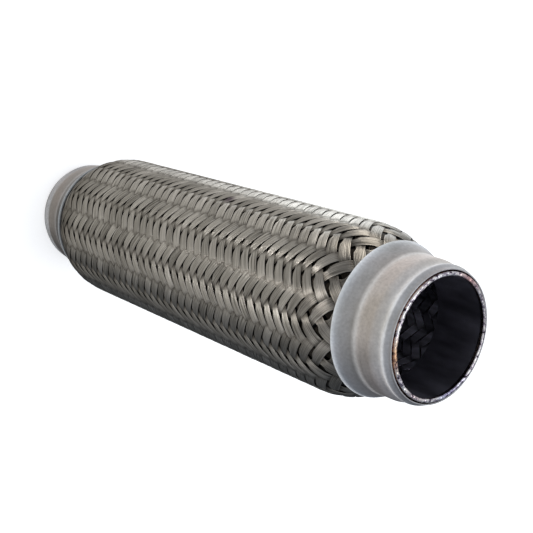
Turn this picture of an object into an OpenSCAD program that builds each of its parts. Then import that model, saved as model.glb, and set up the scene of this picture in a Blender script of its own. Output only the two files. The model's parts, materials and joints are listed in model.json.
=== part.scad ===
// Exhaust flex pipe: a braided, gas-tight bellows joint between two flared end caps.
// It stands on its rear mouth, with the pipe's axis along +Z and the front mouth on top.

/* [Pipe] */
// Overall length over the welds of both rims
pipe_len = 252; // [180:1:280]
// Bore that the exhaust tube slides into
bore_d = 45; // [40:0.5:60]
// Gap left between layers that are pressed together
layer_gap = 0.05; // [0.02:0.01:0.1]

/* [Inner sleeve] */
// Wall of the smooth sleeve in each mouth
sleeve_wall = 0.8; // [0.5:0.1:1.5]
// Depth of the sleeve's inner end below the rim
sleeve_depth = 23; // [19:0.5:40]
// Easing of the bore at the sleeve's inner end
sleeve_ease = 0.3; // [0.1:0.05:0.4]

/* [Edge weld] */
// Height of the weld bead along the axis
weld_h = 2.2; // [1.9:0.1:3]
// Rounding of the weld bead's corners
weld_round = 0.5; // [0.3:0.1:0.7]
// How far the weld laps past the bellows' cuff
weld_lap = 0.65; // [0.5:0.05:1]
// Width of the groove between the weld bead and the cap's lip
groove_w = 0.25; // [0.1:0.05:0.4]
// Distance from the rim to that groove's floor
groove_depth = 1.6; // [1.2:0.1:1.8]

/* [End cap] */
// Sheet thickness of the end cap
cap_wall = 1.2; // [0.8:0.1:1.6]
// Thickness of the lip round the weld
lip_wall = 0.45; // [0.3:0.05:0.6]
// How far the lip stays behind the weld's crown, which is the rim
lip_set = 1; // [0.6:0.1:1.1]
// Distance from the rim to the cap's back edge
cap_len = 26; // [23.5:0.5:40]
// Height of the rolled bead behind the rim
bead_h = 1.1; // [0.5:0.1:1.6]
// Distance from the rim to the bead's crest
bead_at = 3.9; // [3.5:0.1:5]
// Half the width of the bead's foot
bead_half_w = 2.4; // [2:0.1:3]
// Distance from the rim to the start of the rise from the lip to the neck
neck_start = 4.1; // [3.5:0.1:5.5]
// Length of that rise along the axis
neck_run = 6.4; // [4:0.2:8]
// Room inside the neck for the braid's clamped end
neck_room = 0.9; // [0.7:0.05:1.5]
// Distance from the rim to the start of the flare
flare_start = 15; // [12.5:0.5:16.5]
// Length of the flare's whole curve, which the back edge cuts off
flare_run = 16; // [13:0.5:20]
// Height of the flare's whole curve above the neck
flare_h = 4.4; // [3:0.1:6]

/* [Bellows] */
// Sheet thickness of the bellows
bellows_wall = 0.3; // [0.2:0.05:0.5]
// Distance between two convolutions, before they are spread over the span
conv_pitch = 6; // [5:0.25:9]
// Gap between the convolutions' crests and the braid
crest_gap = 0.4; // [0.3:0.05:1]

/* [Outer braid] */
// Rise of the braid from the cap's mouth to its full radius
braid_swell = 5.55; // [4:0.05:8]
// Number of strands that run each way round
strands = 24; // [16:4:28]
// Distance between two parallel strands, measured along the axis
strand_pitch = 5.25; // [5:0.25:8]
// Height of a strand above the valleys beside it
strand_h = 1.1; // [0.6:0.1:1.4]
// Solid wall left under the valleys
braid_base = 0.5; // [0.4:0.1:1]
// Length over which the braid swells from the cap to its full diameter
shoulder_len = 18; // [14:1:30]
// Steepness of that swelling
shoulder_power = 2.2; // [1.6:0.1:2.6]
// Gap between the braid and the cap that clamps it
clamp_gap = 0.2; // [0.15:0.05:0.4]
// Distance from the rim to the braids' clamped ends
braid_end = 14.5; // [14:0.25:16.5]
// Rows of open gaps at each shoulder
gap_rows = 1; // [0:1:1]
// Size of a gap along the axis
gap_len = 2.2; // [1:0.1:2.6]
// Size of a gap round the pipe
gap_w = 1.5; // [0.8:0.1:1.8]

/* [Inner braid] */
// Number of strands of the inner braid that run each way round
inner_strands = 16; // [8:2:20]
// Distance between two parallel strands of the inner braid, along the axis
inner_pitch = 10; // [9:1:28]
// Height of the inner braid's strands
inner_strand_h = 0.35; // [0.2:0.05:0.4]
// Solid wall of the inner braid behind its strands
inner_base = 0.25; // [0.2:0.05:0.4]

/* [Hidden] */
$fn = 96;

// Radii of the layers, from the bore outwards
bore_r = bore_d / 2;
sleeve_r = bore_r + sleeve_wall;
cuff_in_r = sleeve_r + layer_gap;
cuff_r = cuff_in_r + bellows_wall;

// The weld bead fills the lip of the cap, with a groove round its crown
lip_in_r = cuff_r + weld_lap;
lip_r = lip_in_r + lip_wall;
weld_r = lip_in_r - groove_w;
weld_corner = min(weld_round, (weld_r - bore_r) / 3);

// Angles from one crossing of strands to the next
column_turn = 180 / strands;
inner_turn = 180 / inner_strands;
// Angle of the crossing where the first two-strand float begins
weave_turn = 5.75;

// The liner's crests clear the sleeve, also at the middle of a straight facet
liner_in_r = (sleeve_r + 2 * layer_gap) / cos(inner_turn / 2);
liner_r = liner_in_r + inner_strand_h + inner_base;
root_in_r = liner_r + 2 * layer_gap;
root_r = root_in_r + bellows_wall;
neck_r = root_r + neck_room + cap_wall;
braid_wall = strand_h + braid_base;

// The bellows widen in a cone from the cuff to the roots, just before the braids' ends
cone_len = 3.5;
cone_rest = 0.5;
cone_end = braid_end - cone_rest;
cone_start = cone_end - cone_len;

// Angle between points on a bend, and points along the cap's outline
bend_step = 22.5;
cap_steps = 28;
// A gap's inner mouth is smaller than its outer one
gap_taper = 0.7;
gap_skin = 0.2;
// Where the clamp squeezes the braid, its ridges take this share of its thickness
ridge_share = 0.55;

// Outer radius of the end cap at distance t from its rim: lip, rolled bead, neck and flare
function ramp(u) = (1 - cos(180 * max(0, min(1, u)))) / 2;
function cap_r(t) = lip_r + bead_h * ramp(1 - abs(t - bead_at) / bead_half_w)
    + (neck_r - lip_r) * ramp((t - neck_start) / neck_run)
    + flare_h * ramp((t - flare_start) / flare_run);
// Inner radius there: the sheet is thinned where it holds the weld
function cap_in_r(t) = t < weld_h ? lip_in_r : max(lip_in_r, cap_r(t) - cap_wall);

// Crest radius of the outer braid at distance t from the nearer rim
clamp_r = cap_r(cap_len) - cap_wall - clamp_gap;
braid_r = clamp_r + braid_swell;
function braid_crest(t) = t < cap_len
    ? cap_r(t) - cap_wall - clamp_gap
    : braid_r - braid_swell * pow(max(0, 1 - (t - cap_len) / shoulder_len), shoulder_power);
function braid_cavity(t) = max(braid_crest(t) - braid_wall, root_r + clamp_gap);
function braid_valley(t) = braid_crest(t) - min(strand_h, ridge_share * (braid_crest(t) - braid_cavity(t)));

function rim_distance(z) = min(z, pipe_len - z);

// Rings of strand crossings: the crossings are pinned, so the rings spread out where the braid is slimmer
function half_step(r, r_full, pitch, turn) =
    let (arm = sqrt(pow(pitch / 2, 2) + pow(r_full * turn * PI / 180, 2)))
    sqrt(max(pow(pitch / 4, 2), pow(arm, 2) - pow(r * turn * PI / 180, 2)));
function march(t, pitch) = t >= pipe_len / 2 ? [t]
    : [t, each march(t + half_step(braid_crest(t), braid_r, pitch, column_turn), pitch)];
function fitted(ts) = let (k = (pipe_len / 2 - ts[0]) / (ts[len(ts) - 1] - ts[0]))
    [for (t = ts) ts[0] + k * (t - ts[0])];
function both_ends(ts) = [each ts, for (i = [len(ts) - 2 : -1 : 0]) pipe_len - ts[i]];

function end_twice(zs) = [zs[0], each zs, zs[len(zs) - 1]];

// A braid's cut ends are flat, so its first two rings share a height, and so do its last two
outer_rings = end_twice(both_ends(fitted(march(braid_end, strand_pitch))));
inner_count = round((pipe_len - 2 * braid_end) / inner_pitch) * 2;
inner_rings = end_twice([for (k = [0 : inner_count])
    braid_end + k * (pipe_len - 2 * braid_end) / inner_count]);

// Places in the braid's cavity where its profile bends
cavity_steps = 4;
cavity_half = [for (i = [0 : cavity_steps])
    braid_end + (cap_len + shoulder_len - braid_end) * i / cavity_steps];
cavity_rings = [each cavity_half, for (i = [cavity_steps : -1 : 0]) pipe_len - cavity_half[i]];

function on_ring(r, turn, z) = [r * cos(turn), r * sin(turn), z];

// A braided tube with a plain wall behind it. Corners lie in the valleys between strands and crests
// on top of the crossings. Two crests in a row make one float, which leans one way in two columns
// of crossings and the other way in the next two. skin holds [valley, crest] radii for each ring.
module woven_tube(columns, ring_z, skin, wall_z, wall_r, outward) {
    last = len(ring_z) - 1;
    rows = len(wall_z);
    turn = 360 / columns;
    function wrap(j) = (j + columns) % columns;
    function at(k, j) = k * columns + wrap(j);
    function behind(k, j) = at(last + 1 + k, j);
    function is_corner(k, j) = (k + wrap(j)) % 2 == 0;
    points = [
        for (k = [0 : last], j = [0 : columns - 1])
            on_ring(skin[k][is_corner(k, j) ? 0 : 1], weave_turn + j * turn, ring_z[k]),
        for (k = [0 : rows - 1], j = [0 : columns - 1])
            on_ring(wall_r[k], weave_turn + j * turn, wall_z[k])
    ];
    function facing(f, turned) = turned ? [f[0], f[2], f[1]] : f;
    // One crossing: four facets, with the ridge carried on to the other crest of the same float
    function crossing(k, j) =
        let (place = wrap(j) % 4)
        let (lean = place < 2 ? 1 : -1)
        let (starts = place == 0 || place == 3)
        let (step = starts ? 1 : -1)
        let (paired = k + step >= 1 && k + step <= last - 1)
        let (mate = at(k + step, j + step * lean))
        let (m = at(k, j), w = at(k - 1, j), e = at(k + 1, j))
        let (s = at(k, j - lean), n = at(k, j + lean))
        let (facets = [
            [s, e, m],
            [n, w, m],
            paired && !starts ? [w, mate, m] : [w, s, m],
            paired && starts ? [e, mate, m] : [e, n, m]
        ])
        [for (f = facets) facing(f, (lean > 0) != outward)];
    function quad(a, b, c, d) = [facing([a, b, c], outward), facing([a, c, d], outward)];
    function rear_rim(j) = at(wrap(j) % 2, j);
    function front_rim(j) = at(last - (last + wrap(j)) % 2, j);
    polyhedron(points, [
        for (k = [1 : last - 1], j = [0 : columns - 1])
            if (!is_corner(k, j)) each crossing(k, j),
        for (k = [0 : rows - 2], j = [0 : columns - 1])
            each quad(behind(k, j), behind(k + 1, j), behind(k + 1, j + 1), behind(k, j + 1)),
        for (j = [0 : columns - 1])
            each quad(rear_rim(j), behind(0, j), behind(0, j + 1), rear_rim(j + 1)),
        for (j = [0 : columns - 1])
            each quad(behind(rows - 1, j), front_rim(j), front_rim(j + 1), behind(rows - 1, j + 1))
    ]);
}

// A diamond-shaped gap where four strands meet, narrowing towards the bellows
module strand_gap(k, j) {
    z = outer_rings[k];
    t = rim_distance(z);
    rotate([0, 0, weave_turn + j * column_turn])
        hull() for (side = [-1, 1])
            translate([side > 0 ? braid_crest(t) : braid_cavity(t) - braid_base, 0, z])
                scale(side > 0 ? 1 : gap_taper)
                    rotate([90, 0, 90]) linear_extrude(gap_skin, center = true)
                        polygon([[-gap_w / 2, 0], [0, -gap_len / 2], [gap_w / 2, 0], [0, gap_len / 2]]);
}

module outer_braid() {
    last = len(outer_rings) - 1;
    first_open = [for (k = [0 : last]) if (outer_rings[k] > cap_len + gap_len) k][0];
    color("darkgray") difference() {
        woven_tube(2 * strands, outer_rings,
            [for (z = outer_rings) [braid_valley(rim_distance(z)), braid_crest(rim_distance(z))]],
            cavity_rings, [for (z = cavity_rings) braid_cavity(rim_distance(z))], true);
        for (row = [0 : 1 : gap_rows - 1], k = [first_open + row, last - first_open - row])
            for (j = [k % 2 : 2 : 2 * strands - 1]) strand_gap(k, j);
    }
}

module inner_braid() {
    color("dimgray")
        woven_tube(2 * inner_strands, inner_rings,
            [for (z = inner_rings) [liner_in_r + inner_strand_h, liner_in_r]],
            [braid_end, pipe_len - braid_end], [liner_r, liner_r], false);
}

// Gas-tight tube: a cuff at each end, a short cone, and U-shaped convolutions between the caps
module bellows() {
    count = floor((pipe_len - 2 * cap_len) / conv_pitch);
    pitch = (pipe_len - 2 * cap_len) / count;
    half = bellows_wall / 2;
    cuff_mid = cuff_r - half;
    root_mid = root_r - half;
    function centre(i) = cap_len + (i + 0.5) * pitch;
    function cavity_beside(z) = braid_cavity(rim_distance(z));
    function crest_mid(i) = min(cavity_beside(centre(i) - pitch / 4), cavity_beside(centre(i) + pitch / 4))
        - crest_gap - half;
    function bend(i) = min(pitch / 4, (crest_mid(i) - root_mid) / 2);
    // One convolution of one face of the sheet: root bend, crest bend, root bend
    function convolution(i, side) =
        let (b = bend(i), root_b = b - side * half, crest_b = b + side * half)
        [
            for (a = [90 : -bend_step : 0])
                [root_mid + b - root_b * sin(a), centre(i) - 2 * b + root_b * cos(a)],
            for (a = [0 : bend_step : 180])
                [crest_mid(i) - b + crest_b * sin(a), centre(i) - crest_b * cos(a)],
            for (a = [0 : bend_step : 90])
                [root_mid + b - root_b * sin(a), centre(i) + 2 * b - root_b * cos(a)]
        ];
    // One face of the whole sheet; side is 1 for the outside and -1 for the inside
    function face(side) = [
        [cuff_mid + side * half, weld_h],
        [cuff_mid + side * half, cone_start],
        [root_mid + side * half, cone_end],
        for (i = [0 : count - 1]) each convolution(i, side),
        [root_mid + side * half, pipe_len - cone_end],
        [cuff_mid + side * half, pipe_len - cone_start],
        [cuff_mid + side * half, pipe_len - weld_h]
    ];
    inside = face(-1);
    color("slategray") rotate_extrude()
        polygon([each face(1), for (i = [len(inside) - 1 : -1 : 0]) inside[i]]);
}

// Pieces of the rear mouth are drawn upwards from the rim; the front mouth's are their mirror image
module at_front() {
    translate([0, 0, pipe_len]) mirror([0, 0, 1]) children();
}

// Flared collar of sheet metal with a lip, a rolled bead and a rounded back edge
module end_cap() {
    round_r = cap_wall / 2;
    ts = [for (i = [0 : cap_steps]) lip_set + (cap_len - round_r - lip_set) * i / cap_steps];
    color("silver") rotate_extrude() polygon([
        for (t = ts) [cap_r(t), t],
        for (a = [bend_step : bend_step : 180 - bend_step])
            [cap_r(cap_len - round_r) - round_r + round_r * cos(a), cap_len - round_r + round_r * sin(a)],
        for (i = [cap_steps : -1 : 0]) [cap_in_r(ts[i]), ts[i]]
    ]);
}

// Smooth tube that lines the mouth, with its inner end eased
module inner_sleeve() {
    color("gray") rotate_extrude() polygon([
        [bore_r, weld_h],
        [sleeve_r, weld_h],
        [sleeve_r, sleeve_depth],
        [bore_r + sleeve_ease, sleeve_depth],
        [bore_r, sleeve_depth - sleeve_ease]
    ]);
}

// Bead that closes the ends of the sleeve and the bellows, fills the cap's lip and stands proud of it
module edge_weld() {
    color("gainsboro") rotate_extrude() polygon([
        [bore_r, weld_h],
        for (a = [180 : bend_step : 270])
            [bore_r + weld_corner * (1 + cos(a)), weld_corner * (1 + sin(a))],
        for (a = [270 : bend_step : 360])
            [weld_r - weld_corner * (1 - cos(a)), weld_corner * (1 + sin(a))],
        [weld_r, groove_depth],
        [lip_in_r, groove_depth],
        [lip_in_r, weld_h]
    ]);
}

module front_end_cap() { at_front() end_cap(); }
module rear_end_cap() { end_cap(); }
module front_inner_sleeve() { at_front() inner_sleeve(); }
module rear_inner_sleeve() { inner_sleeve(); }
module front_edge_weld() { at_front() edge_weld(); }
module rear_edge_weld() { edge_weld(); }

outer_braid();
front_end_cap();
rear_end_cap();
bellows();
inner_braid();
front_inner_sleeve();
rear_inner_sleeve();
front_edge_weld();
rear_edge_weld();
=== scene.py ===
# %% [markdown]
# # Exhaust flex pipe
#
# A flex pipe joins two lengths of exhaust and lets one shake without the other. What shows is a sleeve
# of braided stainless wire, clamped at both ends by a flared collar whose rim is closed with a weld.
# This lesson dresses the solid model: it weaves the braid strand by strand, spins the collars and
# welds, and gives each metal its own finish.

# %% Load the frame
import json
import math

import bmesh
import bpy
from mathutils import Matrix, Vector, noise

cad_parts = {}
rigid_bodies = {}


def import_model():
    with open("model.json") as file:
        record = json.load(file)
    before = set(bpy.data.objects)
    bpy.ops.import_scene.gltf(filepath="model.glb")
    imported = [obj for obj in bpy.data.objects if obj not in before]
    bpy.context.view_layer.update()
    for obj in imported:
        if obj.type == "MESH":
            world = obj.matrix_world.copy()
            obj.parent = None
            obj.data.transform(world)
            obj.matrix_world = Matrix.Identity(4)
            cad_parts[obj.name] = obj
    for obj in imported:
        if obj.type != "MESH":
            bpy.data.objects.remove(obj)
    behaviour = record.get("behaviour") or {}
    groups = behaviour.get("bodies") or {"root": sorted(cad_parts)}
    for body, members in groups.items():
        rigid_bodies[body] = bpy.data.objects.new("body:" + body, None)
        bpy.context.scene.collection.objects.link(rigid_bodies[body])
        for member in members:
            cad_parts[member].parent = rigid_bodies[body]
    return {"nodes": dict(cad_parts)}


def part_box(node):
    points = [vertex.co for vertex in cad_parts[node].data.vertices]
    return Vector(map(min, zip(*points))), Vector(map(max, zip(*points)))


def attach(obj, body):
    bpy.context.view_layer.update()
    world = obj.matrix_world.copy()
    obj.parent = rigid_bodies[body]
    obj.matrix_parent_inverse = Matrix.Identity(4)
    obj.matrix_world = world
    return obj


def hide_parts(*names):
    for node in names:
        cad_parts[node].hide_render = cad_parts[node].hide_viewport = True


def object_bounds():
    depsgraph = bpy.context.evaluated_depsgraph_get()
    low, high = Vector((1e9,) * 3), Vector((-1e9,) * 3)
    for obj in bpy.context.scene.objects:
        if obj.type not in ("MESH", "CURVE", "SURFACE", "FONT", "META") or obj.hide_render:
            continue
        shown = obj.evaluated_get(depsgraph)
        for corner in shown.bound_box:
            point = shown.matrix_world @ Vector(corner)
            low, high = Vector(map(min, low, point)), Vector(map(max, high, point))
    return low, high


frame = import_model()
cad_low, cad_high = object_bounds()
MM = 0.001
pipe_len = (cad_high.z - cad_low.z) / MM
print("solid model, mm:", [round(x / MM, 2) for x in (*cad_low, *cad_high)])

# %% [markdown]
# The pieces' sizes come from the solids, so that what is modelled here lies where they lie. A round
# node is measured by how far its vertices are from the pipe's axis, and along the axis by its box.
# Sizes of pieces are in millimetres. Finishes, lights and the camera are in metres, like the frame.

# %% Measure the solids
NECK_AT = 12.5


def radii(node):
    """Smallest and largest distance of a node's vertices from the axis."""
    found = [math.hypot(v.co.x, v.co.y) / MM for v in frame["nodes"][node].data.vertices]
    return min(found), max(found)


def depth_from_rim(node):
    """How far below the rim a node of the front mouth ends."""
    return pipe_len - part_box(node)[0].z / MM


def radius_near(node, t):
    """Largest radius of a node of the front mouth within a millimetre of a distance from the rim."""
    ring = [v.co for v in frame["nodes"][node].data.vertices if abs(pipe_len - v.co.z / MM - t) < 1]
    return max(math.hypot(co.x, co.y) for co in ring) / MM


bore_r, lip_in_r = radii("front_edge_weld")
weld_h = depth_from_rim("front_edge_weld")
cap_len = depth_from_rim("front_end_cap")
neck_r = radius_near("front_end_cap", NECK_AT)
braid_r = radii("outer_braid")[1]
braid_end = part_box("outer_braid")[0].z / MM
liner_r = radii("inner_braid")[0]
print(f"bore {bore_r:.2f}, lip {lip_in_r:.2f}, neck {neck_r:.2f}, cap {cap_len:.2f}, braid {braid_r:.2f}")

# %% [markdown]
# The photograph looks into the front mouth from a little to one side, with the pipe lying across the
# picture. The pipe stands on its rear mouth here, so the camera hangs above the front mouth and is
# rolled over. Two directions fix its turn: the one that points back out of the picture, and the one
# that is up in it.

# %% Set up the camera
VIEW_BACK = Vector((0.6406, -0.1641, 0.7502))
VIEW_UP = Vector((0.0, -0.9769, -0.2137))
VIEW_FROM = Vector((0.27662, -0.07476, 0.47672))
SENSOR_W = 36.0
LENS = 69.35

camera_data = bpy.data.cameras.new("camera")
camera_data.sensor_width = SENSOR_W
camera_data.lens = LENS
camera = bpy.data.objects.new("camera", camera_data)
view_right = VIEW_UP.cross(VIEW_BACK).normalized()
turned = Matrix((view_right, VIEW_BACK.cross(view_right), VIEW_BACK)).transposed()
camera.matrix_world = Matrix.Translation(VIEW_FROM) @ turned.to_4x4()
bpy.context.scene.collection.objects.link(camera)
bpy.context.scene.camera = camera
print("camera looks down by", round(math.degrees(math.asin(VIEW_BACK.z)), 1), "degrees")

# %% [markdown]
# Finishes are built from nodes. The first helpers add a node and fill its inputs with a constant or
# with what another node gives.

# %% Helpers that add nodes
# Sockets of the mix node when it mixes colours
MIX_FACTOR, MIX_FIRST, MIX_SECOND, MIX_RESULT = 0, 6, 7, 2


def new_finish(name, metallic=1.0):
    """A material, its node tree and its one principled shader."""
    material = bpy.data.materials.new(name)
    material.use_nodes = True
    shader = material.node_tree.nodes["Principled BSDF"]
    shader.inputs["Metallic"].default_value = metallic
    return material, material.node_tree, shader


def plug(tree, socket, value):
    """Fills an input socket with a constant, or with another node's output."""
    if isinstance(value, bpy.types.NodeSocket):
        tree.links.new(value, socket)
    else:
        socket.default_value = value


def add(tree, kind, settings=(), **inputs):
    """A new node, its settings and its inputs by name."""
    made = tree.nodes.new(kind)
    for key, value in dict(settings).items():
        setattr(made, key, value)
    for key, value in inputs.items():
        plug(tree, made.inputs[key], value)
    return made


def calc(tree, operation, *values):
    """What a math node makes of some values."""
    made = add(tree, "ShaderNodeMath", {"operation": operation})
    for socket, value in zip(made.inputs, values):
        plug(tree, socket, value)
    return made.outputs[0]


def blend(tree, kind, factor, first, second):
    """Two colours mixed by a factor."""
    made = add(tree, "ShaderNodeMix", {"data_type": "RGBA", "blend_type": kind})
    for index, value in ((MIX_FACTOR, factor), (MIX_FIRST, first), (MIX_SECOND, second)):
        plug(tree, made.inputs[index], value)
    return made.outputs[MIX_RESULT]


# %% [markdown]
# The next helpers are the words that the finishes below are written in: where a point of the surface
# is, what the mesh says about it, noise, and colours that depend on them. A ramp's stops are a place
# from 0 to 1 and the colour there.

# %% Helpers that finishes are written in
WHITE = (1.0, 1.0, 1.0)


def grey(k):
    """A colour without a hue."""
    return (k, k, k)


def coordinates(tree, kind):
    """Where a point is: Object for its place on the part, UV for its place on a strand."""
    return add(tree, "ShaderNodeTexCoord").outputs[kind]


def attribute(tree, name):
    """A number that the mesh has at each vertex."""
    return add(tree, "ShaderNodeAttribute", {"attribute_name": name}).outputs["Fac"]


def stretched_noise(tree, vector, scale, detail=3.0):
    """Noise on a vector that is stretched first, as along a drawn wire."""
    placed = add(tree, "ShaderNodeMapping", Vector=vector, Scale=scale)
    made = add(tree, "ShaderNodeTexNoise", Vector=placed.outputs[0], Scale=1.0, Detail=detail)
    return made.outputs["Fac"]


def spread(tree, value, low, high):
    """A factor from 0 to 1 brought to a range."""
    made = add(tree, "ShaderNodeMapRange", **{"Value": value, "To Min": low, "To Max": high})
    return made.outputs["Result"]


def ramp(tree, factor, stops):
    """A colour ramp through its stops."""
    made = add(tree, "ShaderNodeValToRGB", Fac=factor)
    while len(made.color_ramp.elements) < len(stops):
        made.color_ramp.elements.new(1.0)
    for element, (place, colour) in zip(made.color_ramp.elements, stops):
        element.position = place
        element.color = (*colour, 1.0)
    return made.outputs["Color"]


def multiply(tree, colour, *others):
    """A colour darkened by others, one after the other."""
    for other in others:
        colour = blend(tree, "MULTIPLY", 1.0, colour, other)
    return colour


def share_of_reach(tree, place, centre, reach):
    """Distance from a centre in metres, as a share of how far something reaches."""
    away = add(tree, "ShaderNodeVectorMath", {"operation": "DISTANCE"})
    plug(tree, away.inputs[0], place)
    plug(tree, away.inputs[1], centre)
    return calc(tree, "DIVIDE", away.outputs["Value"], reach)


# %% [markdown]
# The braid's wire is bright stainless that has gone a little warm and dull. Faint streaks run along the
# wires. Each strand has a tone of its own; it is an attribute of the mesh, so that it changes from one
# strand to the next and not across one. A second attribute, the strand's height in the weave, paints
# what dives under its neighbours darker: that is painted shade. The braid is also painted darker beside
# the collars, as painted shade, and one small dark smudge sits on its upper side.

# %% Finish of the braid's wire
STREAK_SCALE = (40.0, 18.0, 1.0)
STREAK_SHARE = 0.6
SMUDGE_AT = (0.0158, -0.0301, 0.1416)
SMUDGE_REACH = 0.005
COLLAR_SHADE_REACH = 0.1

braid_wire, tree, shader = new_finish("braid_wire")
streaks = stretched_noise(tree, coordinates(tree, "UV"), STREAK_SCALE)
strand_share = spread(tree, attribute(tree, "strand_tone"), 0.11, 0.31)
steel = ramp(tree, calc(tree, "MULTIPLY_ADD", streaks, STREAK_SHARE, strand_share), [
    (0.36, (0.12, 0.112, 0.099)),
    (0.50, (0.385, 0.366, 0.33)),
    (0.64, (0.66, 0.632, 0.585)),
])
here = coordinates(tree, "Object")
smudge = ramp(tree, share_of_reach(tree, here, SMUDGE_AT, SMUDGE_REACH), [
    (0.20, (0.26, 0.22, 0.27)),
    (0.70, WHITE),
])
along = add(tree, "ShaderNodeSeparateXYZ", Vector=here).outputs["Z"]
from_rim = calc(tree, "PINGPONG", along, pipe_len * MM / 2)
# Painted shade: the braid's colour is darker within a few centimetres of each end.
collar_shade = ramp(tree, calc(tree, "DIVIDE", from_rim, COLLAR_SHADE_REACH), [
    (0.27, (0.40, 0.39, 0.38)),
    (0.37, (0.62, 0.61, 0.60)),
    (0.50, WHITE),
])
# Painted shade: the lower a strand lies in the weave, the darker its colour.
dive_shade = ramp(tree, attribute(tree, "strand_height"), [
    (0.05, (0.06, 0.055, 0.05)),
    (0.45, (0.46, 0.45, 0.44)),
    (0.80, WHITE),
])
plug(tree, shader.inputs["Base Color"], multiply(tree, steel, smudge, collar_shade, dive_shade))
plug(tree, shader.inputs["Roughness"], spread(tree, streaks, 0.22, 0.40))
print("braid wire:", len(tree.nodes), "nodes")

# %% [markdown]
# The collars are spun from sheet, so fine marks run round them, and the surface is as dull as if it
# had been blasted. The neck is a little warm, the flare a cool grey, and faint stains lie over both.
# The rolled bead, the foot of the flare and the back edge carry painted highlights: their colour is
# brighter and less metallic, so they scatter light like a white surface. These bands follow the distance
# from the rim, which the mesh holds as a share of the collar's length. The rear collar is a darker copy
# of the same finish: painted shade.

# %% Finish of the collars
LATHE_SCALE = (25.0, 25.0, 2600.0)
STAIN_SCALE = (34.0, 34.0, 60.0)
CLOUD_SCALE = (70.0, 70.0, 70.0)
GRAIN_SCALE = (900.0, 900.0, 900.0)
# Colours by distance from the rim: the real tones of lip, neck and flare, with painted highlights on the
# bead, the flare's foot and the back edge.
COLLAR_BANDS = (
    (0.05, (0.66, 0.66, 0.67)),
    (0.13, (0.66, 0.66, 0.67)),
    (0.15, WHITE),
    (0.22, (1.0, 0.98, 0.96)),
    (0.28, (0.91, 0.88, 0.86)),
    (0.40, (0.92, 0.86, 0.83)),
    (0.60, (0.88, 0.83, 0.80)),
    (0.65, (0.93, 0.91, 0.89)),
    (0.71, (0.58, 0.565, 0.555)),
    (0.85, (0.64, 0.635, 0.64)),
    (0.94, (0.84, 0.87, 0.91)),
    (0.975, (0.95, 0.98, 1.0)),
)
# Metallic by distance from the rim: lower where the painted highlights lie, so those bands look brighter.
SHEEN_LINES = (
    (0.115, 1.0), (0.140, 0.22), (0.205, 0.22), (0.265, 1.0),
    (0.560, 1.0), (0.640, 0.70), (0.700, 1.0), (0.920, 1.0), (0.965, 0.22),
)


def collar_steel(name, dim):
    """Dull spun sheet; a dim below 1 darkens it."""
    material, tree, shader = new_finish(name)
    rim_distance = attribute(tree, "rim_distance")
    here = coordinates(tree, "Object")
    lathe = stretched_noise(tree, here, LATHE_SCALE, detail=4.0)
    cloud = stretched_noise(tree, here, CLOUD_SCALE, detail=6.0)
    grain = stretched_noise(tree, here, GRAIN_SCALE, detail=2.0)
    bands = [(place, tuple(dim * c for c in colour)) for place, colour in COLLAR_BANDS]
    stain = ramp(tree, stretched_noise(tree, here, STAIN_SCALE), [
        (0.36, (0.84, 0.83, 0.80)),
        (0.50, WHITE),
        (0.64, (1.0, 0.97, 0.96)),
    ])
    mottle = ramp(tree, cloud, [(0.3, grey(0.78)), (0.7, WHITE)])
    specks = ramp(tree, grain, [(0.3, grey(0.84)), (0.7, WHITE)])
    sheet = multiply(tree, ramp(tree, rim_distance, bands), stain, mottle, specks)
    plug(tree, shader.inputs["Base Color"], sheet)
    plug(tree, shader.inputs["Roughness"], spread(tree, lathe, 0.42, 0.58))
    sheen = ramp(tree, rim_distance, [(place, grey(shine)) for place, shine in SHEEN_LINES])
    plug(tree, shader.inputs["Metallic"], sheen)
    marks = add(tree, "ShaderNodeBump", Strength=0.06, Distance=0.0002, Height=lathe)
    plug(tree, shader.inputs["Normal"], marks.outputs["Normal"])
    return material


cap_steel = collar_steel("cap_steel", 1.0)
# Painted shade: the rear collar is the front collar's finish with its colour darkened.
rear_cap_steel = collar_steel("rear_cap_steel", 0.54)
print("collar steel:", len(cap_steel.node_tree.nodes), "nodes")

# %% [markdown]
# A weld cools in colours: straw and orange where it was less hot, purple and blue where it was
# hotter. The bead itself is bright and rippled, with a few burnt pits. Beside it the groove's colour
# turns reddish with heat tint and then nearly black, which is painted shade. Three spots of the front
# weld have a colour of their own: each is an angle round the pipe, a reach in metres and a colour,
# and all lie at one radius.

# %% Finish of the welds
HEAT_R = 0.024
HEAT_SPOTS = (
    (14.0, 0.008, (0.80, 0.46, 0.22)),
    (-115.0, 0.009, (0.62, 0.34, 0.32)),
    (-168.0, 0.022, (0.40, 0.37, 0.37)),
)
PATCH_SCALE = (55.0, 55.0, 55.0)
PIT_SCALE = (700.0, 700.0, 700.0)

weld_metal, tree, shader = new_finish("weld_metal")
here = coordinates(tree, "Object")
tint = ramp(tree, stretched_noise(tree, here, PATCH_SCALE, detail=2.0), [
    (0.30, (0.46, 0.46, 0.62)),
    (0.45, (0.78, 0.76, 0.75)),
    (0.56, (0.84, 0.81, 0.77)),
    (0.70, (0.70, 0.60, 0.58)),
    (0.80, (0.52, 0.40, 0.46)),
])
for degrees, reach, colour in HEAT_SPOTS:
    turn = math.radians(degrees)
    centre = (HEAT_R * math.cos(turn), HEAT_R * math.sin(turn), pipe_len * MM)
    away = share_of_reach(tree, here, centre, reach)
    near = ramp(tree, away, [(0.2, grey(0.85)), (1.0, grey(0.0))])
    tint = blend(tree, "MIX", near, tint, (*colour, 1.0))
fine = stretched_noise(tree, here, PIT_SCALE)
pits = ramp(tree, fine, [
    (0.34, (0.04, 0.035, 0.04)),
    (0.43, (0.56, 0.50, 0.60)),
    (0.53, WHITE),
])
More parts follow.
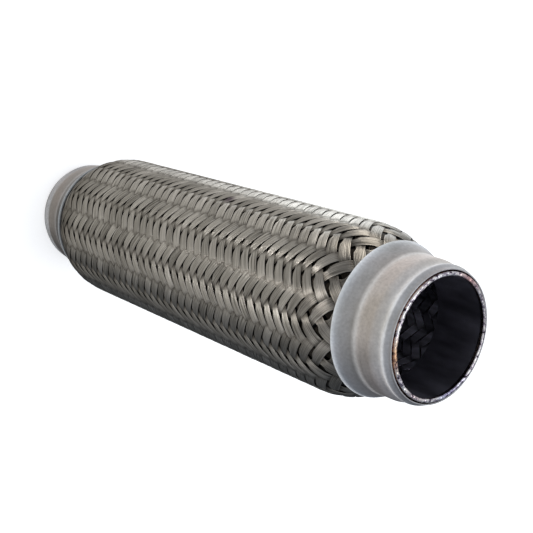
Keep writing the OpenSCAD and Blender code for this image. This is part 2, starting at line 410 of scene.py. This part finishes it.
# Reddish heat tint, then painted shade darkening the groove to nearly black.
groove = ramp(tree, attribute(tree, "rim_distance"), [
    (0.020, WHITE),
    (0.030, (0.62, 0.40, 0.32)),
    (0.044, (0.34, 0.19, 0.15)),
    (0.052, (0.03, 0.025, 0.025)),
])
plug(tree, shader.inputs["Base Color"], multiply(tree, tint, pits, groove))
plug(tree, shader.inputs["Roughness"], spread(tree, fine, 0.15, 0.38))
ripple = add(tree, "ShaderNodeBump", Strength=0.5, Distance=0.0004, Height=fine)
plug(tree, shader.inputs["Normal"], ripple.outputs["Normal"])
print("weld metal:", len(tree.nodes), "nodes")

# %% [markdown]
# Down the bore everything is dark: the sleeve is smooth rolled sheet gone dull, and the liner's wire is
# the same steel with less light on it. The bellows is painted nearly black, as painted shade where it
# shows through the braid's gaps. The liner is painted darker where a strand dives, as painted shade,
# and some of its strands are darker than others.

# %% Finishes of the inside
MARKS_RANGE = (0.6, 1.2)


def dark_steel(name, colour, roughness, scale, *shades):
    """Dull steel with faint marks. A shade is an attribute of the mesh and the stops of its ramp."""
    material, tree, shader = new_finish(name)
    marks = stretched_noise(tree, coordinates(tree, "Object"), scale, detail=4.0)
    low, high = (tuple(c * k for c in colour) for k in MARKS_RANGE)
    steel = ramp(tree, marks, [(0.3, low), (0.7, high)])
    for shaded_by, stops in shades:
        steel = multiply(tree, steel, ramp(tree, attribute(tree, shaded_by), stops))
    plug(tree, shader.inputs["Base Color"], steel)
    plug(tree, shader.inputs["Roughness"], spread(tree, marks, *roughness))
    return material


sleeve_steel = dark_steel("sleeve_steel", (0.38, 0.37, 0.43), (0.30, 0.50), (160.0, 160.0, 40.0))
# Painted shade: the bellows is painted nearly black, so the braid's gaps read dark.
bellows_steel = dark_steel("bellows_steel", (0.05, 0.05, 0.05), (0.40, 0.60), (60.0, 60.0, 60.0))
liner_wire = dark_steel(
    "liner_wire", (0.80, 0.79, 0.90), (0.26, 0.40), (500.0, 500.0, 80.0),
    # Painted shade: darker where the strand lies low in the weave.
    ("strand_height", [(0.30, grey(0.03)), (0.95, WHITE)]),
    ("strand_tone", [(0.35, (0.3, 0.3, 0.31)), (0.65, WHITE)]),
)
print("finishes:", [m.name for m in bpy.data.materials])

# %% [markdown]
# Every piece ends the same way: the bmesh becomes a mesh at the origin, gets its finish, rides on the
# one body of this part and hides the solid that it stands for.

# %% Helper that finishes a piece


def add_piece(name, bm, material, node):
    """Turns a bmesh into a piece of the part."""
    mesh = bpy.data.meshes.new(name)
    bm.to_mesh(mesh)
    bm.free()
    mesh.materials.append(material)
    piece = bpy.data.objects.new(name, mesh)
    bpy.context.scene.collection.objects.link(piece)
    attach(piece, "root")
    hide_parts(node)
    print(f"{name}: {sum(len(p.vertices) - 2 for p in mesh.polygons)} triangles")


# %% [markdown]
# The collar's outline starts at a thin lip round the weld, rolls over a bead, rises to a broad neck and
# flares out to a rounded back edge. Its inside is what presses on the braid.

# %% Outline of the collar
CAP_WALL = 1.2
LIP_WALL = 0.45
BEAD_H = 1.1
BEAD_AT = 3.9
BEAD_HALF_W = 2.4
NECK_START = 4.1
NECK_RUN = 6.4
FLARE_START = 15.0
FLARE_RUN = 16.0
FLARE_H = 4.4
lip_r = lip_in_r + LIP_WALL


def ease(u):
    """A smooth rise from 0 to 1."""
    return (1 - math.cos(math.pi * max(0.0, min(1.0, u)))) / 2


def cap_radius(t):
    """Outer radius of the collar at a distance t from its rim."""
    bead = BEAD_H * ease(1 - abs(t - BEAD_AT) / BEAD_HALF_W)
    neck = (neck_r - lip_r) * ease((t - NECK_START) / NECK_RUN)
    return lip_r + bead + neck + FLARE_H * ease((t - FLARE_START) / FLARE_RUN)


print(f"collar's back edge: radius {cap_radius(cap_len - CAP_WALL / 2):.2f}")

# %% [markdown]
# The outer braid has 24 strands each way. Each goes over two of the others and under two, and because
# the turns are shared by all strands, the floats stack into columns of chevrons along the pipe. The
# crossings behave like a pinned lattice: where the collar squeezes the braid, the strands lean more
# along the pipe and the crossings draw apart. The rings of crossings are found by stepping along the
# braid with a step that keeps the lattice's arms the same length.

# %% Barrel and crossings of the outer braid
STRANDS = 24
STRAND_PITCH = 5.25
LEAST_RISE = STRAND_PITCH / 4
CLAMP_GAP = 0.2
SHOULDER_LEN = 18.0
SHOULDER_POWER = 2.2
column_turn = math.pi / STRANDS
clamp_r = cap_radius(cap_len) - CAP_WALL - CLAMP_GAP


def rim_gap(z):
    """Distance from the nearer rim."""
    return min(z, pipe_len - z)


def braid_crest(z):
    """Radius of the top of the braid at a height z."""
    t = rim_gap(z)
    if t < cap_len:
        return cap_radius(t) - CAP_WALL - CLAMP_GAP
    rest = max(0.0, 1 - (t - cap_len) / SHOULDER_LEN)
    return braid_r - (braid_r - clamp_r) * rest**SHOULDER_POWER


def braid_rings():
    """Heights of the rings of crossings, from the rear end of the braid to the front one."""
    arm = math.hypot(STRAND_PITCH / 2, braid_r * column_turn)
    steps = [braid_end]
    while steps[-1] < pipe_len / 2:
        across = braid_crest(steps[-1]) * column_turn
        steps.append(steps[-1] + math.sqrt(max(LEAST_RISE**2, arm**2 - across**2)))
    fit = (pipe_len / 2 - braid_end) / (steps[-1] - braid_end)
    half = [braid_end + fit * (s - braid_end) for s in steps]
    return half + [pipe_len - z for z in reversed(half[:-1])]


outer_rings = braid_rings()
print("rings of crossings:", len(outer_rings))

# %% [markdown]
# A strand is a flat bundle of wires laid side by side. Its section is a closed outline: a row of round
# wire tops, lower at the edges, and a flat back. Followed from the rear end of the pipe to the front
# one, a strand lies nearly flat over two crossings, arched only a little, dives quickly under the next
# two and comes up again. Where it comes up, its rear edge is drawn in, which leaves the small dark
# notch at the rear end of each float.

# %% Section and path of a strand
FLATNESS = 2.4
ARCH = 0.45
NOTCH_AT = math.radians(70)
NOTCH_POWER = 8


def bundle_section(thick, wires, valley, crown):
    """Closed outline of a strand one wide, as (place across, height from its top), and its creases."""
    top = []
    for q in range(2 * wires + 1):
        across = q / (2 * wires) - 0.5
        top.append((across, -crown * (2 * across) ** 2 - (valley if q % 2 == 0 else 0.0)))
    back = [(0.5, -thick), (-0.5, -thick)]
    return top + back, set(range(0, 2 * wires + 1, 2)) | {2 * wires + 1, 2 * wires + 2}


def ring_place(rings, s):
    """Height on the pipe at a place s counted in crossings, and the rise for each crossing."""
    k = min(max(int(s), 0), len(rings) - 2)
    rise = rings[k + 1] - rings[k]
    return rings[k] + (s - k) * rise, rise


def weave_height(phase):
    """How high a strand lies in the weave: 1 in the middle of a float, 0 where it is deepest."""
    wave = math.tanh(FLATNESS * math.cos(phase)) / math.tanh(FLATNESS)
    wave += ARCH * (math.cos(phase) - wave)
    return (wave + 1) / 2


def notched(phase, depth):
    """Share of a strand's rear half that is left by the notch."""
    return 1 - depth * max(0.0, math.cos(phase + NOTCH_AT)) ** NOTCH_POWER


print("height halfway from a float's middle to its dive:", round(weave_height(math.pi / 4), 2))

# %% [markdown]
# The grid operator makes a sheet with one column for each point of the section and one row for each
# step along the strand, which also gives the strand its UV. The sheet is then laid along the strand's
# path and wrapped round the section. The steps are crowded where the strand dives, because that is
# where it bends. Creases between wires are marked sharp, which makes two flat sides shade as one round
# wire. A strand's width is a share of the lattice's spacing, so it follows the lattice as it narrows.

# %% One woven strand
WEAVE_TURN = math.radians(5.75)
CROWD = 0.6


def woven_strand(bm, weave, lean, column):
    """Adds one strand that starts in a column of crossings and leans one way round."""
    outline, creases = bundle_section(*weave["section"])
    around = len(outline)
    crossings = len(weave["rings"]) - 1
    along = crossings * weave["steps"]
    bm.loops.layers.uv.verify()  # the grid operator fills this layer
    height_layer = bm.verts.layers.float.new("strand_height")
    grid = bmesh.ops.create_grid(bm, x_segments=along, y_segments=around, size=0.5, calc_uvs=True)
    for edge in bm.edges:
        a, b = (round((v.co.y + 0.5) * around) for v in edge.verts)
        if a == b and a % around in creases:
            edge.smooth = False
    over_at = 0.5 if lean > 0 else 2.5  # a column where this strand is in the middle of a float
    dive_at = 1 + lean / 2  # a place on the strand where it is halfway through a dive
    for v in grid["verts"]:
        # Place along the strand, counted in crossings
        s = (v.co.x + 0.5) * crossings
        s -= CROWD * math.sin(math.pi * (s - dive_at)) / math.pi
        s = min(max(s, 0.0), crossings)
        # Place round the pipe, counted in columns, and in the weave
        z, rise = ring_place(weave["rings"], s)
        j = column + lean * s
        phase = math.pi / 2 * lean * (j - over_at)
        height = weave_height(phase)
        # Place across the strand, at right angles to an arm of the lattice
        across, up = outline[round((v.co.y + 0.5) * around) % around]
        sweep = weave["crest"](z) * weave["turn"]
        arm = math.hypot(sweep, rise)
        across *= 2 * weave["fill"](z) * sweep * rise / arm
        if across < 0:
            across *= notched(phase, weave["notch"])
        # Onto the pipe, between the braid's ends
        z = min(max(z + across * sweep / arm, braid_end), pipe_len - braid_end)
        radius = weave["crest"](z)
        angle = WEAVE_TURN + j * weave["turn"] - lean * across * rise / arm / radius
        radius += weave["face"] * (up + weave["dive"] * (height - 1))
        v.co = Vector((radius * math.cos(angle), radius * math.sin(angle), z)) * MM
        v[height_layer] = height


# %% [markdown]
# Turning the pipe by two strands brings the weave back onto itself, so four strands, two each way,
# are made and the spin operator repeats each of them twelve times. A slow noise then shifts every
# strand by some hundredths of a millimetre, because no braid is perfect, and each copy gets a tone.
# The odd factors in the noise only keep the strands apart from each other, and the seed makes every
# run weave the same braid.

# %% Sets of strands
MERGE_DIST = 1e-7
JITTER = 0.07
JITTER_SIZE = 9.0
JITTER_SEED = 11

noise.seed_set(JITTER_SEED)  # unseeded, the vector noise follows the clock


def strand_set(name, weave, lean, column):
    """One strand and its copies round the pipe, as one piece."""
    bm = bmesh.new()
    woven_strand(bm, weave, lean, column)
    bmesh.ops.remove_doubles(bm, verts=bm.verts[:], dist=MERGE_DIST)
    bmesh.ops.holes_fill(bm, edges=[e for e in bm.edges if e.is_boundary], sides=0)
    bmesh.ops.recalc_face_normals(bm, faces=bm.faces[:])
    for face in bm.faces:
        face.smooth = True
    one = len(bm.verts)
    copies = weave["strands"] // 2
    bmesh.ops.spin(
        bm, geom=bm.verts[:] + bm.edges[:] + bm.faces[:], cent=(0, 0, 0), axis=(0, 0, 1), dvec=(0, 0, 0),
        angle=math.tau * (copies - 1) / copies, steps=copies - 1, use_merge=False, use_duplicate=True,
    )
    tone = bm.verts.layers.float.new("strand_tone")
    bm.verts.ensure_lookup_table()
    for index, v in enumerate(bm.verts):
        copy = index // one
        v[tone] = 0.5 + 0.5 * noise.noise(Vector((copy * 3.7, lean * 9.1, column * 5.3)))
        shift = noise.noise_vector(v.co / (JITTER_SIZE * MM) + Vector((copy * 11.0, lean * 5.0, 0.0)))
        v.co += shift * JITTER * MM
    add_piece(name, bm, weave["finish"], weave["node"])


def weave_braid(prefix, weave):
    """Two sets of strands that lean one way round and two that lean the other way."""
    for lean, way in ((1, "right"), (-1, "left")):
        for column, order in ((0, "first"), (2, "second")):
            strand_set(f"{prefix}_{way}_{order}", weave, lean, column)


# %% [markdown]
# The outer braid's strands are eight wires wide and fill most of the lattice. Beside the collars, where
# the braid was drawn in, they lie a little looser, and the gaps between them are wider. The crest is
# set in by as much as the noise may shift a strand, so that the braid keeps the solid's size.

# %% Weave the outer braid
STRAND_FILL = 0.885
SLACK = 0.08
SLACK_LEN = 50.0
STRAND_THICK = 0.35
STRAND_WIRES = 8
WIRE_VALLEY = 0.13
STRAND_CROWN = 0.10
DIVE_ROOM = 0.33
TUCK = 0.05


def braid_fill(z):
    """Share of the lattice's spacing that a strand fills: a little less beside the collars."""
    near = min(1.0, max(0.0, 1 - (rim_gap(z) - cap_len) / SLACK_LEN))
    return STRAND_FILL - SLACK * near


weave_braid("braid", {
    "strands": STRANDS,
    "rings": outer_rings,
    "turn": column_turn,
    "crest": lambda z: braid_crest(z) - TUCK - JITTER,
    "face": 1.0,
    "section": (STRAND_THICK, STRAND_WIRES, WIRE_VALLEY, STRAND_CROWN),
    "fill": braid_fill,
    "notch": 0.55,
    "dive": STRAND_THICK + DIVE_ROOM,
    "steps": 4,
    "finish": braid_wire,
    "slot": "braid_wire",
    "node": "outer_braid",
})

# %% [markdown]
# The liner inside the bellows is woven the same way, seen from within: its strands rise towards the
# axis, and they are narrower, because as many of them share a smaller circle.

# %% Weave the liner
LINER_STRANDS = 24
LINER_LEAN = math.radians(52)
LINER_FILL = 0.86
LINER_THICK = 0.2
LINER_WIRES = 2
LINER_VALLEY = 0.02
LINER_CROWN = 0.05
LINER_DIVE_ROOM = 0.05
liner_turn = math.pi / LINER_STRANDS
liner_span = pipe_len - 2 * braid_end
liner_rows = round(liner_span / (liner_r * liner_turn / math.tan(LINER_LEAN)))

weave_braid("liner", {
    "strands": LINER_STRANDS,
    "rings": [braid_end + liner_span * k / liner_rows for k in range(liner_rows + 1)],
    "turn": liner_turn,
    "crest": lambda z: liner_r + TUCK,
    "face": -1.0,
    "section": (LINER_THICK, LINER_WIRES, LINER_VALLEY, LINER_CROWN),
    "fill": lambda z: LINER_FILL,
    "notch": 0.1,
    "dive": LINER_THICK + LINER_DIVE_ROOM,
    "steps": 3,
    "finish": liner_wire,
    "slot": "liner_wire",
    "node": "inner_braid",
})

# %% [markdown]
# The collars and the welds are round, so each is an outline of a few vertices that the spin operator
# carries once round the axis. An outline is drawn from the rim towards the middle of the pipe.

# %% Helpers that spin an outline


def spin_outline(points, front, steps):
    """A closed outline of (radius, distance from the rim) points, carried round the axis."""
    bm = bmesh.new()
    rim_distance = bm.verts.layers.float.new("rim_distance")
    ring = []
    for radius, t in points:
        v = bm.verts.new((radius * MM, 0.0, (pipe_len - t if front else t) * MM))
        v[rim_distance] = t / cap_len
        ring.append(v)
    for a, b in zip(ring, ring[1:] + ring[:1]):
        bm.edges.new((a, b))
    bmesh.ops.spin(
        bm, geom=bm.verts[:] + bm.edges[:], cent=(0, 0, 0), axis=(0, 0, 1), dvec=(0, 0, 0),
        angle=math.tau, steps=steps, use_merge=True, use_duplicate=False,
    )
    bmesh.ops.remove_doubles(bm, verts=bm.verts[:], dist=MERGE_DIST)
    bmesh.ops.recalc_face_normals(bm, faces=bm.faces[:])
    for face in bm.faces:
        face.smooth = True
    return bm


def arc(centre, radius, start, end, count):
    """Points of an arc in the outline's plane, angles in degrees."""
    turns = [math.radians(start + (end - start) * i / count) for i in range(count + 1)]
    return [(centre[0] + radius * math.cos(a), centre[1] + radius * math.sin(a)) for a in turns]


# %% [markdown]
# A collar's outline runs back along its outside, round the back edge, which is as thick as the sheet,
# and forward again along its inside. Round the weld the inside is straight.

# %% Spin the collars
LIP_SET = 1.0
OUTLINE_STEPS = 64
EDGE_STEPS = 12
SPIN_STEPS = 192


def cap_outline():
    """Outside of the collar from the lip back, its rounded edge, and the inside on the way back."""
    half = CAP_WALL / 2
    run = cap_len - half - LIP_SET
    places = [LIP_SET + run * i / OUTLINE_STEPS for i in range(OUTLINE_STEPS + 1)]
    outside = [(cap_radius(t), t) for t in places]
    edge = arc((cap_radius(cap_len - half) - half, cap_len - half), half, 0, 180, EDGE_STEPS)[1:-1]
    inside = []
    for t in reversed(places):
        inside.append((max(lip_in_r, cap_radius(t) - CAP_WALL) if t > weld_h else lip_in_r, t))
    return outside + edge + inside


for end, finish in (("front", cap_steel), ("rear", rear_cap_steel)):
    bm = spin_outline(cap_outline(), end == "front", SPIN_STEPS)
    add_piece(f"{end}_collar", bm, finish, f"{end}_end_cap")

# %% [markdown]
# The weld is laid by hand or on a turning table, and it is never even: the bead swells and sinks as
# it goes, it has small ripples, and it laps a little way over the bore's edge. A dark groove stays
# between the bead and the collar's lip. The outline is spun finely and its vertices are then pulled in
# by noise, never out, so the rim keeps its size.

# %% Lay the welds
WELD_STEPS = 480
CROWN_STEPS = 7
WELD_ROUND = 0.62
WELD_LAP = 0.35
WELD_LUMP = 0.34
LUMP_SIZE = 2.6
WELD_RIPPLE = 0.16
RIPPLE_SIZE = 0.7
GROOVE_W = 0.5
GROOVE_DEPTH = 1.6
weld_r = lip_in_r - GROOVE_W


def weld_outline():
    """Section of the bead: a rounded crown, the groove beside it and a flat foot."""
    lapped_r = bore_r - WELD_LAP
    crown_in = arc((lapped_r + WELD_ROUND, WELD_ROUND), WELD_ROUND, 180, 270, CROWN_STEPS)
    crown_out = arc((weld_r - WELD_ROUND, WELD_ROUND), WELD_ROUND, 270, 360, CROWN_STEPS)
    groove = [(weld_r, GROOVE_DEPTH), (lip_in_r, GROOVE_DEPTH), (lip_in_r, weld_h)]
    return [(bore_r, weld_h)] + crown_in + crown_out + groove


def roughen(bm, front):
    """Pulls the free part of a bead in towards the middle of its foot."""
    middle = Vector(((bore_r + weld_r) / 2, weld_h)) * MM
    for v in bm.verts:
        out = Vector((v.co.x, v.co.y))
        t = pipe_len * MM - v.co.z if front else v.co.z
        free = max(0.0, 1 - t / (GROOVE_DEPTH * MM))
        lump = 0.5 + 0.5 * noise.noise(v.co / (LUMP_SIZE * MM))
        rough = 0.5 + 0.5 * noise.noise(v.co / (RIPPLE_SIZE * MM))
        sink = free * (WELD_LUMP * lump + WELD_RIPPLE * rough) * MM
        pull = Vector((middle.x - out.length, middle.y - t)).normalized() * sink
        v.co.x, v.co.y = out.normalized() * (out.length + pull.x)
        v.co.z += -pull.y if front else pull.y


for end in ("front", "rear"):
    bm = spin_outline(weld_outline(), end == "front", WELD_STEPS)
    roughen(bm, end == "front")
    add_piece(f"{end}_weld", bm, weld_metal, f"{end}_edge_weld")

# %% [markdown]
# The sleeves and the bellows are true in the solid model, so they stay and only take their finish.

# %% Finish the solids that stay
for node, material in (
    ("front_inner_sleeve", sleeve_steel),
    ("rear_inner_sleeve", sleeve_steel),
    ("bellows", bellows_steel),
):
    mesh = frame["nodes"][node].data
    mesh.materials.clear()
    mesh.materials.append(material)
    print("finished", node)

# %% [markdown]
# The floor is plain and nearly white, and it is left out of the metal's reflections, which would
# otherwise go white all over.

# %% Floor
FLOOR_SIZE = 6.0

floor_bm = bmesh.new()
bmesh.ops.create_grid(floor_bm, x_segments=1, y_segments=1, size=FLOOR_SIZE / 2)
floor_mesh = bpy.data.meshes.new("floor")
floor_bm.to_mesh(floor_mesh)
floor_bm.free()
floor = bpy.data.objects.new("floor", floor_mesh)
floor.visible_glossy = False
bpy.context.scene.collection.objects.link(floor)
floor_paint, tree, shader = new_finish("floor_paint", metallic=0.0)
shader.inputs["Base Color"].default_value = (0.92, 0.92, 0.92, 1.0)
shader.inputs["Roughness"].default_value = 0.9
shader.inputs["Emission Color"].default_value = (*WHITE, 1.0)
shader.inputs["Emission Strength"].default_value = 0.6
floor_mesh.materials.append(floor_paint)
print("floor:", FLOOR_SIZE, "metres wide")

# %% [markdown]
# One broad panel evens out the floor. Four small ones light the braid alone: round wires send a small
# light on only where a strand leans the right way, and that is what makes the floats glint in bands.
# The last one shines down the bore, so that the liner shows.

# %% Light panels
pipe_middle = (0.0, 0.0, pipe_len * MM / 2)


def light_panel(name, place, target, size, watts, colour=WHITE):
    """A soft square light that the camera doesn't see."""
    data = bpy.data.lights.new(name, "AREA")
    data.shape = "SQUARE"
    data.size = size
    data.energy = watts
    data.color = colour
    panel = bpy.data.objects.new(name, data)
    panel.location = place
    panel.rotation_euler = (Vector(target) - Vector(place)).to_track_quat("-Z", "Y").to_euler()
    panel.visible_camera = False
    bpy.context.scene.collection.objects.link(panel)
    return panel


light_panel("floor_panel", (-0.3, 0.0, 1.2), (-0.3, 0.05, 0.0), 0.8, 4.0)
for name, place, size, watts, colour, prefix in (
    ("top_panel", (-0.10, -0.60, 0.30), 0.30, 1.8, (1.0, 0.95, 0.88), "braid_"),
    ("back_panel", (-0.22, -0.28, 0.05), 0.20, 0.25, (0.88, 0.95, 1.0), "braid_"),
    ("front_panel", (0.69, -0.14, 0.26), 0.20, 1.5, (1.0, 0.97, 0.94), "braid_"),
    ("low_panel", (0.57, 0.44, 0.33), 0.20, 0.45, WHITE, "braid_"),
    ("bore_panel", (0.22, -0.14, 0.50), 0.08, 1.0, (0.95, 0.95, 1.0), "liner_"),
):
    lit = bpy.data.collections.new(name + "_lights")
    for piece in bpy.context.scene.objects:
        if piece.name.startswith(prefix):
            lit.objects.link(piece)
    panel = light_panel(name, place, pipe_middle, size, watts, colour)
    panel.light_linking.receiver_collection = lit

# %% [markdown]
# What the metal mirrors is a soft room: cool and even above, warm below, bright behind the pipe on the
# side that is up in the picture, and dark on the other side. The ramps go once round the pipe.

# %% Room
CEILING = (0.33, 0.345, 0.37, 1.0)
ROOM_STRENGTH = 1.75

world = bpy.data.worlds.new("studio")
bpy.context.scene.world = world
world.use_nodes = True
tree = world.node_tree
towards = coordinates(tree, "Generated")
gradient = add(tree, "ShaderNodeTexGradient", {"gradient_type": "RADIAL"}, Vector=towards)
round_about = gradient.outputs["Fac"]
walls = ramp(tree, round_about, [
    (0.00, (0.70, 0.72, 0.75)),
    (0.05, (0.86, 0.87, 0.88)),
    (0.13, (0.58, 0.58, 0.58)),
    (0.21, (0.43, 0.42, 0.41)),
    (0.32, (0.37, 0.36, 0.34)),
    (0.42, (0.32, 0.31, 0.29)),
    (0.54, (0.30, 0.29, 0.27)),
    (0.70, (0.14, 0.135, 0.13)),
    (0.80, (0.10, 0.10, 0.10)),
    (0.88, (0.05, 0.05, 0.05)),
    (0.95, (0.06, 0.06, 0.06)),
])
shade = ramp(tree, round_about, [
    (0.60, WHITE),
    (0.74, (0.52, 0.56, 0.61)),
    (0.92, (0.42, 0.45, 0.50)),
    (0.98, WHITE),
])
upward = add(tree, "ShaderNodeSeparateXYZ", Vector=towards).outputs["Z"]
overhead = add(tree, "ShaderNodeMapRange", **{"Value": upward, "From Min": -0.6, "From Max": 0.3})
room = multiply(tree, blend(tree, "MIX", overhead.outputs["Result"], walls, CEILING), shade)
plug(tree, tree.nodes["Background"].inputs["Color"], room)
tree.nodes["Background"].inputs["Strength"].default_value = ROOM_STRENGTH
bpy.context.scene.view_settings.view_transform = "Standard"
print("room:", len(tree.nodes), "nodes")
